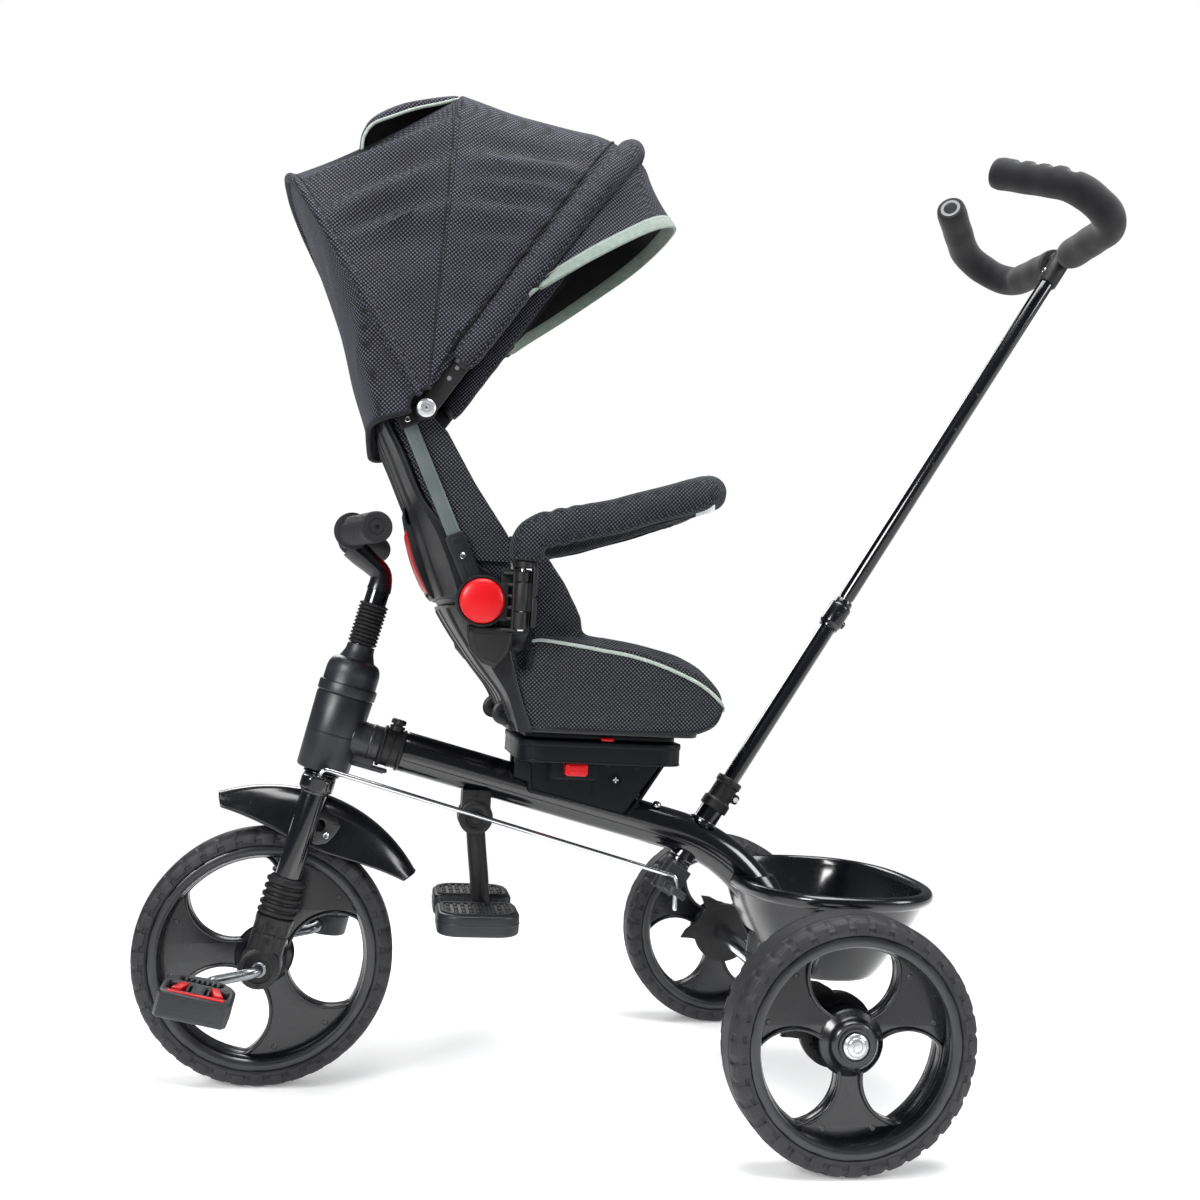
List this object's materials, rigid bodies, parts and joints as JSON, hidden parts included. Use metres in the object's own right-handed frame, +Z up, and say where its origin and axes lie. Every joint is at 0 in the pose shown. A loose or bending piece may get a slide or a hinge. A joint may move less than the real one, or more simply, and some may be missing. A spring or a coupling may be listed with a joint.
{
  "type": "tricycle",
  "caption": "Children's tricycle with a swivelling reclining padded seat, folding canopy, bumper bar, footrest, rear basket and a parent's steering pole.",
  "frame": {"origin": "on the ground, under the middle of the tricycle's box", "axes": "+Z up, +X towards the tricycle's rear, +Y to the rider's right when riding forwards"},
  "size_m": [0.9316, 0.514, 0.9634],
  "materials": {
    "black_gloss_paint": "gloss powder coat",
    "black_gloss_plastic": "gloss",
    "black_matt_plastic": "fine satin grain",
    "dark_rubber": "matt",
    "tyre_grey": "matt, small tread blocks",
    "chrome_steel": "bright",
    "anodised_aluminium": "satin, grey-green",
    "red_plastic": "semi-gloss",
    "charcoal_fabric": "heather weave, padded",
    "handle_foam": "soft foam",
    "grey_plastic": "matt",
    "sage_trim": "light sage-green piping and edge band"
  },
  "bodies": {
    "frame": {"main_tube": "black_gloss_paint", "head_tube": "black_gloss_paint", "head_cover": "black_matt_plastic", "head_cap": "black_matt_plastic", "clamp_collar": "black_matt_plastic", "pole_clamp": "black_matt_plastic", "axle_yoke": "black_matt_plastic", "rear_axle": "chrome_steel", "basket": "black_gloss_plastic", "seat_base": "black_matt_plastic", "footrest_bracket": "black_matt_plastic"},
    "steering": {"fork": "black_gloss_paint", "fork_end_left": "dark_rubber", "fork_end_right": "dark_rubber", "fender": "black_gloss_plastic", "bellows": "dark_rubber", "gooseneck": "black_gloss_paint", "handlebar": "black_gloss_paint", "handlebar_grip_left": "dark_rubber", "handlebar_grip_right": "dark_rubber"},
    "front_wheel": {"front_tyre": "tyre_grey", "front_wheel": "black_gloss_plastic", "crank": "chrome_steel"},
    "pedal_left": {"pedal_left": "black_matt_plastic"},
    "pedal_right": {"pedal_right": "black_matt_plastic"},
    "rear_wheel_left": {"rear_tyre_left": "tyre_grey", "rear_wheel_left": "black_gloss_plastic"},
    "rear_wheel_right": {"rear_tyre_right": "tyre_grey", "rear_wheel_right": "black_gloss_plastic"},
    "brake_left": {"brake_lever_left": "black_matt_plastic"},
    "brake_right": {"brake_lever_right": "black_matt_plastic"},
    "steering_rod": {"steering_rod": "chrome_steel"},
    "pole": {"pole_lower": "black_gloss_paint", "steer_lever": "grey_plastic"},
    "handle": {"pole_upper": "black_gloss_paint", "handle_bar": "black_gloss_paint", "handle_grip_left": "handle_foam", "handle_grip_right": "handle_foam"},
    "seat": {"turntable": "black_matt_plastic", "seat_shell": "black_matt_plastic", "seat_cushion": "charcoal_fabric", "side_arm_left": "black_matt_plastic", "side_arm_right": "black_matt_plastic"},
    "swivel_button": {"swivel_button": "red_plastic"},
    "release_tab": {"release_tab": "red_plastic"},
    "side_cap_left": {"side_cap_left": "red_plastic"},
    "side_cap_right": {"side_cap_right": "red_plastic"},
    "backrest": {"back_shell": "black_matt_plastic", "back_pad": "charcoal_fabric", "strut_left": "anodised_aluminium", "strut_right": "anodised_aluminium", "canopy_rear": "charcoal_fabric"},
    "recline_lever": {"recline_lever": "red_plastic"},
    "canopy_middle": {"middle_hoop": "anodised_aluminium", "canopy_front": "charcoal_fabric"},
    "canopy_visor": {"front_hoop": "charcoal_fabric", "visor": "charcoal_fabric"},
    "bumper": {"bumper_bar": "black_matt_plastic", "bumper_sleeve": "charcoal_fabric"},
    "footrest": {"footrest": "black_matt_plastic"}
  },
  "joints": [
    {"name": "steer", "type": "hinge", "parent": "frame", "child": "steering", "pos_m": [-0.34377, 0, 0.122], "axis": [0.2419, 0, 0.9703], "range_deg": [-15, 15]},
    {"name": "handle_turn", "type": "hinge", "parent": "frame", "child": "pole", "pos_m": [0.07423, 0, 0.244], "axis": [0.512, 0, 0.859], "range_deg": [-15, 15]},
    {"name": "rod_swing", "type": "hinge", "parent": "steering", "child": "steering_rod", "pos_m": [-0.30216, -0.048, 0.28889], "axis": [0.2419, 0, 0.9703], "range_deg": [-15, 15]},
    {"name": "front_wheel_spin", "type": "hinge", "parent": "steering", "child": "front_wheel", "pos_m": [-0.34377, 0, 0.122], "axis": [0, 1, 0], "continuous": true},
    {"name": "pedal_left_spin", "type": "hinge", "parent": "front_wheel", "child": "pedal_left", "pos_m": [-0.38877, -0.131, 0.11244], "axis": [0, 1, 0], "continuous": true},
    {"name": "pedal_right_spin", "type": "hinge", "parent": "front_wheel", "child": "pedal_right", "pos_m": [-0.29878, 0.131, 0.13156], "axis": [0, 1, 0], "continuous": true},
    {"name": "rear_wheel_left_spin", "type": "hinge", "parent": "frame", "child": "rear_wheel_left", "pos_m": [0.16223, -0.232, 0.109], "axis": [0, 1, 0], "continuous": true},
    {"name": "rear_wheel_right_spin", "type": "hinge", "parent": "frame", "child": "rear_wheel_right", "pos_m": [0.16223, 0.232, 0.109], "axis": [0, 1, 0], "continuous": true},
    {"name": "brake_left_press", "type": "hinge", "parent": "frame", "child": "brake_left", "pos_m": [0.16223, -0.197, 0.109], "axis": [0, 1, 0], "range_deg": [0, 20]},
    {"name": "brake_right_press", "type": "hinge", "parent": "frame", "child": "brake_right", "pos_m": [0.16223, 0.197, 0.109], "axis": [0, 1, 0], "range_deg": [0, 20]},
    {"name": "handle_extend", "type": "slide", "parent": "pole", "child": "handle", "axis": [0.512, 0, 0.859], "range_m": [-0.15, 0]},
    {"name": "seat_swivel", "type": "hinge", "parent": "frame", "child": "seat", "pos_m": [-0.03777, 0, 0.34], "axis": [0, 0, 1], "continuous": true},
    {"name": "swivel_button_press", "type": "slide", "parent": "frame", "child": "swivel_button", "axis": [0, 1, 0], "range_m": [0, 0.006], "stiffness_N_per_m": 300},
    {"name": "release_tab_press", "type": "slide", "parent": "seat", "child": "release_tab", "axis": [0, 1, 0], "range_m": [0, 0.005], "stiffness_N_per_m": 300},
    {"name": "side_cap_left_press", "type": "slide", "parent": "seat", "child": "side_cap_left", "axis": [0, 1, 0], "range_m": [0, 0.004], "stiffness_N_per_m": 400},
    {"name": "side_cap_right_press", "type": "slide", "parent": "seat", "child": "side_cap_right", "axis": [0, -1, 0], "range_m": [0, 0.004], "stiffness_N_per_m": 400},
    {"name": "recline", "type": "hinge", "parent": "seat", "child": "backrest", "pos_m": [-0.16277, 0, 0.469], "axis": [0, 1, 0], "range_deg": [0, 15]},
    {"name": "recline_lever_pull", "type": "hinge", "parent": "backrest", "child": "recline_lever", "pos_m": [-0.23027, 0, 0.536], "axis": [0, 1, 0], "range_deg": [0, 10], "stiffness_Nm_per_rad": 0.3},
    {"name": "canopy_fold", "type": "hinge", "parent": "backrest", "child": "canopy_middle", "pos_m": [-0.22177, 0, 0.638], "axis": [0, -1, 0], "range_deg": [0, 25], "deforming": ["canopy_rear"]},
    {"name": "canopy_front_fold", "type": "hinge", "parent": "canopy_middle", "child": "canopy_visor", "pos_m": [-0.22177, 0, 0.638], "axis": [0, -1, 0], "range_deg": [0, 25], "deforming": ["canopy_front"]},
    {"name": "bumper_swing", "type": "hinge", "parent": "seat", "child": "bumper", "pos_m": [-0.12777, -0.14, 0.474], "axis": [0, 0, -1], "range_deg": [0, 100]},
    {"name": "footrest_fold", "type": "hinge", "parent": "frame", "child": "footrest", "pos_m": [-0.14877, 0, 0.2605], "axis": [0, -1, 0], "range_deg": [0, 45]}
  ],
  "couplings": [
    {"joint": "handle_turn", "follows": "steer", "ratio": 1},
    {"joint": "rod_swing", "follows": "steer", "ratio": -1},
    {"joint": "canopy_front_fold", "follows": "canopy_fold", "ratio": 1}
  ]
}
